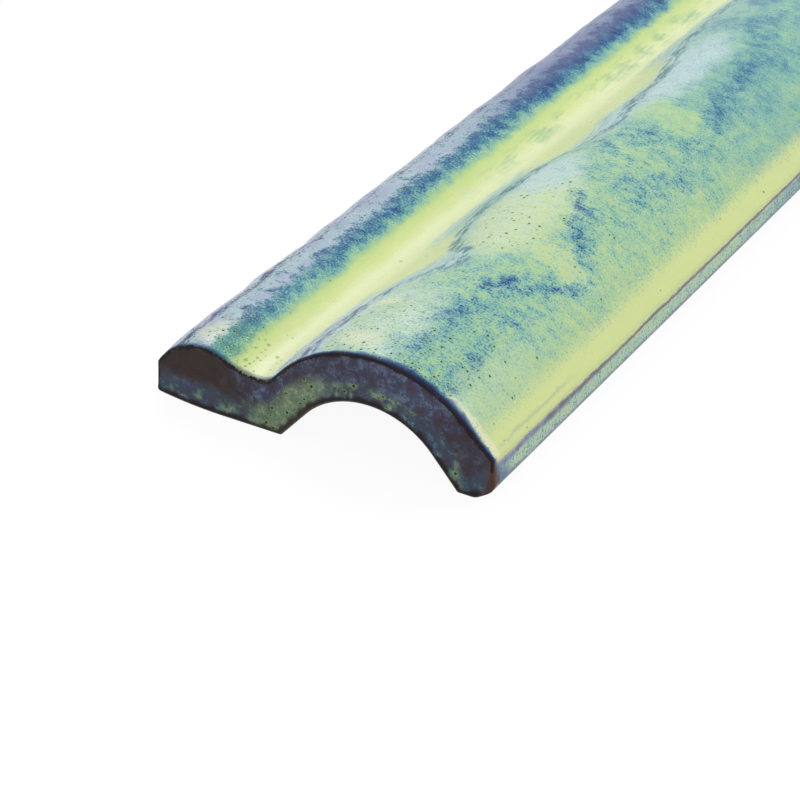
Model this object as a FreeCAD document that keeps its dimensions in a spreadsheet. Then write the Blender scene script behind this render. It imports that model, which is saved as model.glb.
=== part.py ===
import FreeCAD, Part
import math
import os

import Sketcher

# Ceramic mudcap trim: one length of extruded clay strip, fired with a run glaze. A thin flange with a
# rounded bead lies flat in the mortar, a cove leads up to a tall arched bullnose, and the arch is hollow
# underneath so that the mortar keys into it. The arch's flank is pressed in by hand along the length,
# so the cove widens and narrows. Millimetres: X across the strip from the bead to the foot, Y along it,
# Z up from the bed that it lies on. The origin is the middle of the strip, on the bed.

document = FreeCAD.newDocument("MudcapTrim")

# Driving sizes, in millimetres and degrees. Places across the strip count from the bead's outer face,
# places along it from the end at low Y, and heights from the bed.
SIZES = {
    "strip_length": 203.2,
    "bead_crest": 12.4,
    "bead_radius": 10.0,
    "bead_face_height": 6.76,
    "cove_depth": 2.7,
    "cove_radius": 13.0,
    "neck_radius_full": 4.1,
    "neck_radius_pressed": 8.0,
    "flank_run_full": 0.3,
    "flank_inset": 0.07,
    "pressed_flank_angle": 35.0,
    "crown_height": 20.0,
    "crown_radius": 24.0,
    "crown_lead": 2.1,
    "crown_sink": 0.3,
    "slope_angle": 45.0,
    "foot_face_height": 7.908,
    "press_reach": 15.0,
    "press_place_a": 43.0,
    "press_place_b": 92.0,
    "press_place_c": 121.0,
    "press_place_d": 188.0,
    "arch_wall": 9.2,
    "hollow_shift": 0.87,
    "hollow_radius": 15.5,
    "hollow_flank_angle": 49.0,
    "base_lift_start": 13.0,
    "base_lift_radius": 85.0,
    "foot_chamfer_width": 3.2,
    "foot_chamfer_height": 2.1,
    "foot_round": 2.5,
    "channel_round": 0.5,
    "arris_round": 0.8,
    "end_round": 0.4,
    "tool_overrun": 3.0,
    "face_overrun": 12.0,
    "station_pitch": 7.6,
}
PRESS_PLACES = ["press_place_a", "press_place_b", "press_place_c", "press_place_d"]

sheet = document.addObject("Spreadsheet::Sheet", "Sizes")
for row, (name, value) in enumerate(SIZES.items(), start=1):
    sheet.set(f"A{row}", name)
    sheet.set(f"B{row}", str(value))
    sheet.setAlias(f"B{row}", name)
document.recompute()

# What the section works out from those sizes. The bead's circle meets its outer face at that face's
# height, and the cove is tangent to the bead. The crown stands where a short straight run, the full
# flank, leads from the cove's neck to just inside the crown's own circle, and that gives the flank its
# angle. The strip is as wide as the slope takes to fall from the crown to the foot's face, and the
# channel follows the crown.
layout = document.addObject("App::VarSet", "Layout")
LAYOUT = {
    "bead_up": "Sizes.bead_crest - Sizes.bead_radius",
    "bead_place": "sqrt(Sizes.bead_radius ^ 2 - (Sizes.bead_face_height - bead_up) ^ 2)",
    "valley_height": "Sizes.bead_crest - Sizes.cove_depth",
    "cove_up": "valley_height + Sizes.cove_radius",
    "cove_reach": "Sizes.bead_radius + Sizes.cove_radius",
    "valley_place": "bead_place + sqrt(cove_reach ^ 2 - (cove_up - bead_up) ^ 2)",
    "crown_up": "Sizes.crown_height - Sizes.crown_radius",
    "neck_above_crown": "valley_height + Sizes.neck_radius_full - crown_up",
    "flank_reach": "Sizes.crown_radius - Sizes.flank_inset + Sizes.neck_radius_full",
    "neck_to_crown": "sqrt(flank_reach ^ 2 + Sizes.flank_run_full ^ 2)",
    "crown_place": "valley_place + sqrt(neck_to_crown ^ 2 - neck_above_crown ^ 2)",
    "full_flank_angle": "(asin(flank_reach / neck_to_crown) - asin(neck_above_crown / neck_to_crown))"
                        " / 1 deg",
    "slope_place": "crown_place + Sizes.crown_radius * sin(Sizes.slope_angle * 1 deg)",
    "slope_up": "crown_up + Sizes.crown_radius * cos(Sizes.slope_angle * 1 deg)",
    "strip_width": "slope_place + (slope_up - Sizes.foot_face_height) / tan(Sizes.slope_angle * 1 deg)",
    "hollow_place": "crown_place - Sizes.hollow_shift",
    "hollow_up": "Sizes.crown_height - Sizes.arch_wall - Sizes.hollow_radius",
}
for name, formula in LAYOUT.items():
    layout.addProperty("App::PropertyFloat", name, "Layout")
    layout.setExpression(name, formula)
    document.recompute()


def size(name):
    """One driving size, read back from the sheet."""
    return float(sheet.get(name))


def point(across, up):
    """A point in a cross-section's own plane."""
    return FreeCAD.Vector(across, up, 0)


def line(start, end):
    return Part.LineSegment(start, end)


def arc(centre, start, end):
    """The arc that runs anticlockwise about its centre from start to end."""
    circle = Part.Circle(centre, FreeCAD.Vector(0, 0, 1), (start - centre).Length)
    return Part.ArcOfCircle(circle, circle.parameter(start), circle.parameter(end))


def cross_section(body, name):
    """A sketch across the strip, counted from the bead's outer face."""
    sketch = body.newObject("Sketcher::SketchObject", name)
    plane = next(p for p in body.Origin.OriginFeatures if p.Role == "XZ_Plane")
    sketch.AttachmentSupport = [(plane, "")]
    sketch.MapMode = "FlatFace"
    sketch.setExpression("AttachmentOffset.Base.x", "-1 mm * Layout.strip_width / 2")
    return sketch


# A curve's start, end and centre, as a sketch's constraints number them.
START, END, CENTRE = range(1, 4)


def from_corner(curve, spot):
    """The two ends of a distance from the corner of the bed and the bead's outer face to a point."""
    return [-1, 1, curve, spot]


def to_corner(curve, spot):
    """The same distance counted the other way, for a point beyond the corner."""
    return [curve, spot, -1, 1]


def hold_on_bed(sketch, curve, spot):
    sketch.addConstraint(Sketcher.Constraint("PointOnObject", curve, spot, -1))


def hold_on_bead_face(sketch, curve, spot):
    sketch.addConstraint(Sketcher.Constraint("PointOnObject", curve, spot, -2))


def relate(sketch, kind, *pairs):
    """Adds the same geometric constraint to several curves or pairs of curve ends."""
    for pair in pairs:
        sketch.addConstraint(Sketcher.Constraint(kind, *pair))


def bind(sketch, kind, places, value, name, formula):
    """Adds a dimension to a sketch and ties it to the sheet."""
    index = sketch.addConstraint(Sketcher.Constraint(kind, *places, value))
    sketch.renameConstraint(index, name)
    sketch.setExpression(f"Constraints.{name}", formula)


def base_lift():
    """How far the bead's lower edge stands off the bed."""
    radius = size("base_lift_radius")
    return radius - math.sqrt(radius**2 - size("base_lift_start") ** 2)


def draw_blank(sketch):
    """The extruded strip before its face is shaped: flat bed, lifted bead edge, chamfered foot."""
    width = layout.strip_width
    top = size("crown_height") + size("tool_overrun") / 2
    lift_start = size("base_lift_start")
    lift_radius = size("base_lift_radius")
    bed_end = point(lift_start, 0)
    low_corner = point(0, base_lift())
    foot_edge = point(width - size("foot_chamfer_width"), 0)
    foot_top = point(width, size("foot_chamfer_height"))
    sketch.addGeometry(
        [
            arc(point(lift_start, lift_radius), low_corner, bed_end),
            line(bed_end, foot_edge),
            line(foot_edge, foot_top),
            line(foot_top, point(width, top)),
            line(point(width, top), point(0, top)),
            line(point(0, top), low_corner),
        ],
        False,
    )
    lift, bed, chamfer, foot_face, roof, bead_face = range(6)
    relate(sketch, "Tangent", (lift, END, bed, START))
    relate(sketch, "Coincident", (bed, END, chamfer, START), (chamfer, END, foot_face, START),
           (foot_face, END, roof, START), (roof, END, bead_face, START), (bead_face, END, lift, START))
    relate(sketch, "Horizontal", (bed,), (roof,))
    relate(sketch, "Vertical", (foot_face,), (bead_face,))
    hold_on_bed(sketch, lift, END)
    hold_on_bead_face(sketch, bead_face, START)
    bind(sketch, "Radius", [lift], lift_radius, "lift_radius", "Sizes.base_lift_radius")
    bind(sketch, "DistanceX", from_corner(lift, END), lift_start, "lift_start", "Sizes.base_lift_start")
    bind(sketch, "DistanceX", from_corner(foot_face, START), width, "width", "Layout.strip_width")
    bind(sketch, "DistanceX", [chamfer, START, chamfer, END], width - foot_edge.x, "foot_width",
         "Sizes.foot_chamfer_width")
    bind(sketch, "DistanceY", [chamfer, START, chamfer, END], foot_top.y, "foot_height",
         "Sizes.foot_chamfer_height")
    bind(sketch, "DistanceY", from_corner(roof, START), top, "blank_top",
         "Sizes.crown_height + Sizes.tool_overrun / 2")


def bead_curves():
    """The bead and the outer half of the cove, from the bead's outer face to the bottom of the cove,
    closed well above the strip. They are the same all along it."""
    over = size("tool_overrun")
    bead_centre = point(layout.bead_place, layout.bead_up)
    cove_centre = point(layout.valley_place, layout.cove_up)
    bead_to_cove = bead_centre + (cove_centre - bead_centre) * (size("bead_radius") / layout.cove_reach)
    bead_edge = point(0, size("bead_face_height"))
    bead_fall = bead_centre.x / (bead_edge.y - bead_centre.y)
    outside = point(-over, bead_edge.y - over * bead_fall)
    valley = point(layout.valley_place, layout.valley_height)
    clear = size("crown_height") + over
    return [
        line(outside, bead_edge),
        arc(bead_centre, bead_to_cove, bead_edge),
        arc(cove_centre, bead_to_cove, valley),
        line(valley, point(valley.x, clear)),
        line(point(valley.x, clear), point(-over, clear)),
        line(point(-over, clear), outside),
    ]


def draw_bead(sketch):
    """Draws the bead and the outer cove and ties them to the sheet."""
    curves = bead_curves()
    sketch.addGeometry(curves, False)
    run_in, bead, cove, inner, roof, near = range(len(curves))
    relate(sketch, "Tangent", (run_in, END, bead, END), (bead, START, cove, START))
    relate(sketch, "Coincident", (cove, END, inner, START), (inner, END, roof, START),
           (roof, END, near, START), (near, END, run_in, START))
    relate(sketch, "Vertical", (inner,), (near,), (cove, CENTRE, cove, END))
    relate(sketch, "Horizontal", (roof,))
    hold_on_bead_face(sketch, run_in, END)
    bead_centre = curves[bead].Center
    over = size("tool_overrun")
    bind(sketch, "Radius", [bead], curves[bead].Radius, "bead_radius", "Sizes.bead_radius")
    bind(sketch, "Radius", [cove], curves[cove].Radius, "cove_radius", "Sizes.cove_radius")
    bind(sketch, "DistanceX", from_corner(bead, CENTRE), bead_centre.x, "bead_place", "Layout.bead_place")
    bind(sketch, "DistanceY", from_corner(bead, CENTRE), bead_centre.y, "bead_up", "Layout.bead_up")
    bind(sketch, "DistanceY", from_corner(cove, END), layout.valley_height, "valley_height",
         "Layout.valley_height")
    bind(sketch, "DistanceX", to_corner(run_in, START), over, "near_side", "Sizes.tool_overrun")
    bind(sketch, "DistanceY", from_corner(roof, START), size("crown_height") + over, "clear_above",
         "Sizes.crown_height + Sizes.tool_overrun")


def arch_curves(press):
    """The arch at one station, from the bottom of the cove over the crown to the foot, closed well
    above the strip. Press is 0 where the arch stands full and 1 where it is pushed in most."""
    neck_radius = size("neck_radius_full")
    neck_radius += (size("neck_radius_pressed") - neck_radius) * press
    flank = layout.full_flank_angle
    flank = math.radians(flank + (size("pressed_flank_angle") - flank) * press)
    valley = point(layout.valley_place, layout.valley_height)
    neck_centre = valley + point(0, neck_radius)
    flank_low = neck_centre + point(math.sin(flank), -math.cos(flank)) * neck_radius
    outward = point(-math.sin(flank), math.cos(flank))

    crown_radius = size("crown_radius")
    crown_centre = point(layout.crown_place, layout.crown_up - size("crown_sink") * press)
    lead = size("crown_lead")
    crown_start = crown_centre + point(-lead, math.sqrt(crown_radius**2 - lead**2))
    turn = flank - math.asin(lead / crown_radius)
    shoulder_radius = outward.dot(flank_low - crown_start) / (1 - math.cos(turn))
    shoulder_centre = crown_start + (crown_centre - crown_start) * (shoulder_radius / crown_radius)
    flank_high = shoulder_centre + outward * shoulder_radius

    over = size("tool_overrun")
    slope = math.radians(size("slope_angle"))
    slope_top = crown_centre + point(math.sin(slope), math.cos(slope)) * crown_radius
    far_side = layout.strip_width + over
    slope_end = point(far_side, slope_top.y - (far_side - slope_top.x) * math.tan(slope))
    clear = size("crown_height") + over
    return [
        arc(neck_centre, valley, flank_low),
        line(flank_low, flank_high),
        arc(shoulder_centre, crown_start, flank_high),
        arc(crown_centre, slope_top, crown_start),
        line(slope_top, slope_end),
        line(slope_end, point(far_side, clear)),
        line(point(far_side, clear), point(valley.x - over, clear)),
        line(point(valley.x - over, clear), valley),
    ]


def draw_arch(sketch):
    """Draws the arch at a sketch's own station and ties its arcs and angles to the sheet."""
    curves = arch_curves(sketch.Press)
    sketch.addGeometry(curves, False)
    neck, flank, shoulder, crown, slope, far, roof, lean = range(len(curves))
    relate(sketch, "Tangent", (neck, END, flank, START), (flank, END, shoulder, END),
           (shoulder, START, crown, END), (crown, START, slope, START))
    relate(sketch, "Coincident", (slope, END, far, START), (far, END, roof, START),
           (roof, END, lean, START), (lean, END, neck, START))
    relate(sketch, "Vertical", (far,), (neck, CENTRE, neck, START))
    relate(sketch, "Horizontal", (roof,))

    def bind_angle(curve, name, formula):
        run = curves[curve].EndPoint - curves[curve].StartPoint
        bind(sketch, "Angle", [curve], math.atan2(run.y, run.x), name, formula)

    bind(sketch, "Radius", [crown], curves[crown].Radius, "crown_radius", "Sizes.crown_radius")
    bind(sketch, "Radius", [neck], curves[neck].Radius, "neck_radius",
         "Sizes.neck_radius_full + (Sizes.neck_radius_pressed - Sizes.neck_radius_full) * Press")
    bind_angle(flank, "flank_angle",
               "(Layout.full_flank_angle + (Sizes.pressed_flank_angle - Layout.full_flank_angle) * Press)"
               " * 1 deg")
    bind_angle(slope, "slope_angle", "-Sizes.slope_angle * 1 deg")

    over = size("tool_overrun")
    crown_centre = curves[crown].Center
    bind(sketch, "DistanceX", from_corner(neck, START), layout.valley_place, "valley_place",
         "Layout.valley_place")
    bind(sketch, "DistanceY", from_corner(neck, START), layout.valley_height, "valley_height",
         "Layout.valley_height")
    bind(sketch, "DistanceX", from_corner(crown, CENTRE), crown_centre.x, "crown_place",
         "Layout.crown_place")
    bind(sketch, "DistanceY", from_corner(crown, CENTRE), crown_centre.y, "crown_up",
         "Layout.crown_up - Sizes.crown_sink * Press")
    bind(sketch, "DistanceX", [crown, END, crown, CENTRE], size("crown_lead"), "crown_lead",
         "Sizes.crown_lead")
    bind(sketch, "DistanceX", from_corner(slope, END), layout.strip_width + over, "far_side",
         "Layout.strip_width + Sizes.tool_overrun")
    bind(sketch, "DistanceX", [lean, START, lean, END], over, "lean", "Sizes.tool_overrun")
    bind(sketch, "DistanceY", from_corner(roof, START), size("crown_height") + over, "clear_above",
         "Sizes.crown_height + Sizes.tool_overrun")


def arch_station(body, index, last):
    """One station of the arch, with its place along the strip and how far the flank is pressed."""
    sketch = cross_section(body, f"ArchStation{index + 1:02d}")
    sketch.addProperty("App::PropertyFloat", "Place", "Station", "from the end at low Y")
    sketch.addProperty("App::PropertyFloat", "Press", "Station", "0 full, 1 pressed in")
    whole = "(Sizes.strip_length + 2 * Sizes.face_overrun)"
    sketch.setExpression("Place", f"{whole} * {index} / {last} - Sizes.face_overrun")
    presses = [f"1 / exp(((Place - Sizes.{name}) / Sizes.press_reach) ^ 2)" for name in PRESS_PLACES]
    sketch.setExpression("Press", " + ".join(presses))
    sketch.setExpression("AttachmentOffset.Base.z", "1 mm * (Sizes.strip_length / 2 - Place)")
    document.recompute()
    draw_arch(sketch)
    return sketch


def hollow_side():
    """Where the channel's round crown meets its right flank, from the middle of the channel."""
    flank = math.radians(size("hollow_flank_angle"))
    return point(math.sin(flank), math.cos(flank)) * size("hollow_radius") + point(0, layout.hollow_up)


def hollow_half_width(up):
    """Half the channel's width between its straight flanks, at a height."""
    side = hollow_side()
    return side.x + (side.y - up) / math.tan(math.radians(size("hollow_flank_angle")))


def draw_hollow(sketch):
    """The mortar channel under the arch: a round crown between two straight flanks, open below."""
    centre = point(layout.hollow_place, layout.hollow_up)
    side = hollow_side()
    below = -size("tool_overrun")
    right = point(centre.x + side.x, side.y)
    left = point(centre.x - side.x, side.y)
    low_right = point(centre.x + hollow_half_width(below), below)
    low_left = point(centre.x - hollow_half_width(below), below)
    sketch.addGeometry(
        [
            arc(centre, right, left),
            line(left, low_left),
            line(low_left, low_right),
            line(low_right, right),
        ],
        False,
    )
    crown, heel_flank, mouth, toe_flank = range(4)
    relate(sketch, "Tangent", (crown, END, heel_flank, START), (toe_flank, END, crown, START))
    relate(sketch, "Coincident", (heel_flank, END, mouth, START), (mouth, END, toe_flank, START))
    relate(sketch, "Horizontal", (mouth,))
    relate(sketch, "Equal", (heel_flank, toe_flank))
    bind(sketch, "Radius", [crown], size("hollow_radius"), "radius", "Sizes.hollow_radius")
    bind(sketch, "DistanceX", from_corner(crown, CENTRE), centre.x, "place", "Layout.hollow_place")
    bind(sketch, "DistanceY", from_corner(crown, CENTRE), centre.y, "centre_up", "Layout.hollow_up")
    bind(sketch, "Angle", [toe_flank], math.pi - math.radians(size("hollow_flank_angle")), "flank_angle",
         "180 deg - Sizes.hollow_flank_angle * 1 deg")
    bind(sketch, "DistanceY", to_corner(mouth, END), size("tool_overrun"), "below", "Sizes.tool_overrun")


def cut_along(body, name, section):
    """Cuts a section out of the strip all along it."""
    cut = body.newObject("PartDesign::Pocket", name)
    cut.Profile = section
    cut.SideType = "Symmetric"
    cut.setExpression("Length", "Sizes.strip_length + 2 * Sizes.tool_overrun")
    document.recompute()
    return cut


def long_edge(feature, place):
    """The name of the edge that runs the strip's length nearest to a place in the section."""
    best_name = None
    best_miss = math.inf
    for index, edge in enumerate(feature.Shape.Edges, start=1):
        ends = [vertex.Point for vertex in edge.Vertexes]
        if len(ends) < 2 or abs(ends[0].y - ends[1].y) < size("strip_length") / 2:
            continue
        seen = point(ends[0].x + layout.strip_width / 2, ends[0].z)
        if (seen - place).Length < best_miss:
            best_name = f"Edge{index}"
            best_miss = (seen - place).Length
    return best_name


def end_edges(feature):
    """The names of the edges round both square-cut ends."""
    end_planes = [-size("strip_length") / 2, size("strip_length") / 2]
    names = []
    for index, edge in enumerate(feature.Shape.Edges, start=1):
        for plane in end_planes:
            if all(math.isclose(vertex.Point.y, plane, abs_tol=1e-4) for vertex in edge.Vertexes):
                names.append(f"Edge{index}")
    return names


def round_edges(body, name, base, edges, radius):
    """Rounds some edges of a feature by a radius from the sheet."""
    fillet = body.newObject("PartDesign::Fillet", name)
    fillet.Base = (base, edges)
    fillet.setExpression("Radius", f"Sizes.{radius}")
    document.recompute()
    print(name, len(edges), "edges, volume", round(fillet.Shape.Volume))
    return fillet


trim = document.addObject("PartDesign::Body", "mudcap_trim")
trim.Label = "mudcap_trim"

blank_section = cross_section(trim, "BlankSection")
draw_blank(blank_section)
blank = trim.newObject("PartDesign::Pad", "Blank")
blank.Profile = blank_section
blank.SideType = "Symmetric"
blank.setExpression("Length", "Sizes.strip_length")
document.recompute()

bead_section = cross_section(trim, "BeadSection")
draw_bead(bead_section)
bead_face = cut_along(trim, "BeadFace", bead_section)

last_station = round((size("strip_length") + 2 * size("face_overrun")) / size("station_pitch"))
stations = [arch_station(trim, index, last_station) for index in range(last_station + 1)]
document.recompute()
arch_face = trim.newObject("PartDesign::SubtractiveLoft", "ArchFace")
arch_face.Profile = stations[0]
arch_face.Sections = stations[1:]
arch_face.Ruled = False
document.recompute()

hollow_section = cross_section(trim, "HollowSection")
draw_hollow(hollow_section)
hollow = cut_along(trim, "Hollow", hollow_section)
for feature in [blank, bead_face, arch_face, hollow]:
    print(feature.Name, "volume", round(feature.Shape.Volume))

# The fired strip has no sharp edge: the foot is a soft toe, the channel's mouth and the two upright
# faces are eased, and so are both cut ends, all the way round.
width = layout.strip_width
heel = point(layout.hollow_place - hollow_half_width(0), 0)
toe = point(layout.hollow_place + hollow_half_width(0), 0)
foot_low = point(width - size("foot_chamfer_width"), 0)
foot_high = point(width, size("foot_chamfer_height"))
foot_arris = point(width, size("foot_face_height"))
bead_arris = point(0, size("bead_face_height"))
bead_low = point(0, base_lift())

foot_edges = [long_edge(hollow, foot_low), long_edge(hollow, foot_high)]
rounded = round_edges(trim, "FootRound", hollow, foot_edges, "foot_round")
channel_edges = [long_edge(rounded, heel), long_edge(rounded, toe)]
rounded = round_edges(trim, "ChannelRound", rounded, channel_edges, "channel_round")
arris_edges = [long_edge(rounded, place) for place in (bead_low, bead_arris, foot_arris)]
rounded = round_edges(trim, "ArrisRound", rounded, arris_edges, "arris_round")
rounded = round_edges(trim, "EndRound", rounded, end_edges(rounded), "end_round")

os.makedirs("parts", exist_ok=True)
for item in document.Objects:
    if "Invalid" in item.State or "Error" in item.State:
        raise RuntimeError(f"{item.Label} did not build: {item.State}")
for body in [trim]:
    if body.Shape.isNull() or not body.Shape.isValid() or len(body.Shape.Solids) != 1:
        raise RuntimeError(f"{body.Label} is not one valid solid")
    body.Shape.exportStep(f"parts/{body.Label}.step")
    bounds = body.Shape.optimalBoundingBox()
    print(body.Label, round(bounds.XLength, 3), round(bounds.YLength, 3), round(bounds.ZLength, 3),
          "mm, volume", round(body.Shape.Volume), "mm3")
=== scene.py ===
import math

import bpy
import numpy as np
from mathutils import Matrix, Vector


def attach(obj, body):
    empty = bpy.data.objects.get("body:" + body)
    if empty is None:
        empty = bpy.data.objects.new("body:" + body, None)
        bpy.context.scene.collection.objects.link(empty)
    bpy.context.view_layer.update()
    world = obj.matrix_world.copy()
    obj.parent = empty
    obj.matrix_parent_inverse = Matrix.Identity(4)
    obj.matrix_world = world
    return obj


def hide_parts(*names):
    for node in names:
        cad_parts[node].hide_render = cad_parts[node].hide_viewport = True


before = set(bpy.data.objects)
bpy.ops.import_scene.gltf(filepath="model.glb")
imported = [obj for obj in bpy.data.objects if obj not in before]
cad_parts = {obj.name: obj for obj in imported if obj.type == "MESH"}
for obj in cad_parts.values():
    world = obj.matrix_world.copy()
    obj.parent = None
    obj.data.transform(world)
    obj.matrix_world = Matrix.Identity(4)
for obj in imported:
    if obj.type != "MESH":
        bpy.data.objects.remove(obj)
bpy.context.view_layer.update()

# The strip: one length of dark stoneware, extruded through a die as a beaded flange, a cove and a hollow
# arch, cut square at both ends and pressed in by hand along the arch's flank while it was leather hard.
# A run glaze covers its face and laps over its ends, and the side that goes down into mortar is bare.
STRIP_LENGTH = 203.2
BEAD_CREST = 12.4
BEAD_RADIUS = 10.0
BEAD_FACE_HEIGHT = 6.76
COVE_DEPTH = 2.7
COVE_RADIUS = 13.0
NECK_RADIUS_FULL = 4.1
NECK_RADIUS_PRESSED = 8.0
FLANK_RUN_FULL = 0.3
FLANK_INSET = 0.07
PRESSED_FLANK_ANGLE = 35.0
CROWN_HEIGHT = 20.0
CROWN_RADIUS = 24.0
CROWN_LEAD = 2.1
CROWN_SINK = 0.3
SLOPE_ANGLE = 45.0
FOOT_FACE_HEIGHT = 7.908
ARCH_WALL = 9.2
HOLLOW_SHIFT = 0.87
HOLLOW_RADIUS = 15.5
HOLLOW_FLANK_ANGLE = 49.0
BASE_LIFT_START = 13.0
BASE_LIFT_RADIUS = 85.0
FOOT_CHAMFER = (3.2, 2.1)
FOOT_ROUND = 2.5
CHANNEL_ROUND = 0.5
ARRIS_ROUND = 0.8
END_ROUND = 0.4
PRESS_REACH = 15.0
PRESS_PLACES = (43.0, 92.0, 121.0, 188.0)
FLANK_STEPS = 30
CHANNEL_STEPS = 51


def heading(degrees):
    """A direction in the section, anticlockwise from straight across."""
    return np.array([math.cos(math.radians(degrees)), math.sin(math.radians(degrees))])


def bow(centre, radius, start, end, steps):
    """Points along an arc between two headings, without the first."""
    return np.array([centre + radius * heading(a) for a in np.linspace(start, end, steps + 1)[1:]])


def run(start, end, steps):
    """Points along a straight line, without the first."""
    return np.linspace(start, end, steps + 1)[1:]


def eased(corner, come, go, radius, steps):
    """Points round a corner between two directions, eased by a radius."""
    turn = math.acos(np.clip(np.dot(come, go), -1, 1))
    reach = radius * math.tan(turn / 2)
    share = np.linspace(0, 1, steps + 1)[:, None]
    return (corner - come * reach) * (1 - share) ** 2 + 2 * corner * share * (1 - share) + (
        corner + go * reach) * share**2


def along(points):
    """How far each point is along its line."""
    return np.concatenate([[0], np.cumsum(np.hypot(*np.diff(points, axis=0).T))])


def evenly(points, steps):
    """The same line with its points evenly spaced."""
    lengths = along(points)
    wanted = np.linspace(0, lengths[-1], steps + 1)
    return np.stack([np.interp(wanted, lengths, points[:, axis]) for axis in (0, 1)], 1)


bead_up = BEAD_CREST - BEAD_RADIUS
bead_centre = np.array([math.sqrt(BEAD_RADIUS**2 - (BEAD_FACE_HEIGHT - bead_up) ** 2), bead_up])
cove_up = BEAD_CREST - COVE_DEPTH + COVE_RADIUS
cove_swing = math.degrees(math.acos((cove_up - bead_up) / (BEAD_RADIUS + COVE_RADIUS)))
valley = np.array([bead_centre[0], 0]) + np.array(
    [(BEAD_RADIUS + COVE_RADIUS) * math.sin(math.radians(cove_swing)), BEAD_CREST - COVE_DEPTH])
crown_up = CROWN_HEIGHT - CROWN_RADIUS
neck_rise = valley[1] + NECK_RADIUS_FULL - crown_up
flank_reach = CROWN_RADIUS - FLANK_INSET + NECK_RADIUS_FULL
neck_to_crown = math.hypot(flank_reach, FLANK_RUN_FULL)
crown_place = valley[0] + math.sqrt(neck_to_crown**2 - neck_rise**2)
full_flank_angle = math.degrees(
    math.asin(flank_reach / neck_to_crown) - math.asin(neck_rise / neck_to_crown))
slope_start = np.array([crown_place, crown_up]) + CROWN_RADIUS * heading(90 - SLOPE_ANGLE)
strip_width = slope_start[0] + (slope_start[1] - FOOT_FACE_HEIGHT) / math.tan(math.radians(SLOPE_ANGLE))


def arch_flank(press):
    """The line from the bottom of the cove up the flank to the crown, at one depth of press."""
    neck_radius = NECK_RADIUS_FULL + (NECK_RADIUS_PRESSED - NECK_RADIUS_FULL) * press
    angle = full_flank_angle + (PRESSED_FLANK_ANGLE - full_flank_angle) * press
    neck_centre = valley + np.array([0, neck_radius])
    neck = bow(neck_centre, neck_radius, -90, angle - 90, 40)
    crown_centre = np.array([crown_place, crown_up - CROWN_SINK * press])
    lead_angle = math.degrees(math.asin(CROWN_LEAD / CROWN_RADIUS))
    crown_start = crown_centre + CROWN_RADIUS * heading(90 + lead_angle)
    outward = heading(90 + angle)
    turn = math.radians(angle - lead_angle)
    shoulder_radius = np.dot(outward, neck[-1] - crown_start) / (1 - math.cos(turn))
    shoulder_centre = crown_start + (crown_centre - crown_start) * shoulder_radius / CROWN_RADIUS
    shoulder = bow(shoulder_centre, shoulder_radius, 90 + angle, 90 + lead_angle, 60)
    flank = run(neck[-1], shoulder_centre + shoulder_radius * outward, 40)
    return evenly(np.vstack([[valley], neck, flank, shoulder]), FLANK_STEPS)


def glazed_outline(press):
    """The glazed face's section from the bead's outer face over the crown to the foot's face."""
    crown_centre = np.array([crown_place, crown_up - CROWN_SINK * press])
    bead_start = math.degrees(math.atan2(BEAD_FACE_HEIGHT - bead_up, -bead_centre[0]))
    arris = eased(np.array([0, BEAD_FACE_HEIGHT]), heading(90), heading(bead_start - 90), ARRIS_ROUND, 3)
    after_arris = math.degrees(math.atan2(*(arris[-1] - bead_centre)[::-1]))
    bead = bow(bead_centre, BEAD_RADIUS, after_arris, 90 - cove_swing, 24)
    cove = bow(np.array([valley[0], cove_up]), COVE_RADIUS, -90 - cove_swing, -90, 14)
    flank = arch_flank(press)[1:]
    lead_angle = math.degrees(math.asin(CROWN_LEAD / CROWN_RADIUS))
    crown = bow(crown_centre, CROWN_RADIUS, 90 + lead_angle, 90 - SLOPE_ANGLE, 25)
    foot_arris = np.array([strip_width, FOOT_FACE_HEIGHT - CROWN_SINK * press])
    foot = eased(foot_arris, heading(-SLOPE_ANGLE), heading(-90), ARRIS_ROUND, 4)
    slope = run(crown[-1], foot[0], 9)
    return np.vstack([arris, bead, cove, flank, crown, slope, foot[1:]])


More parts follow.
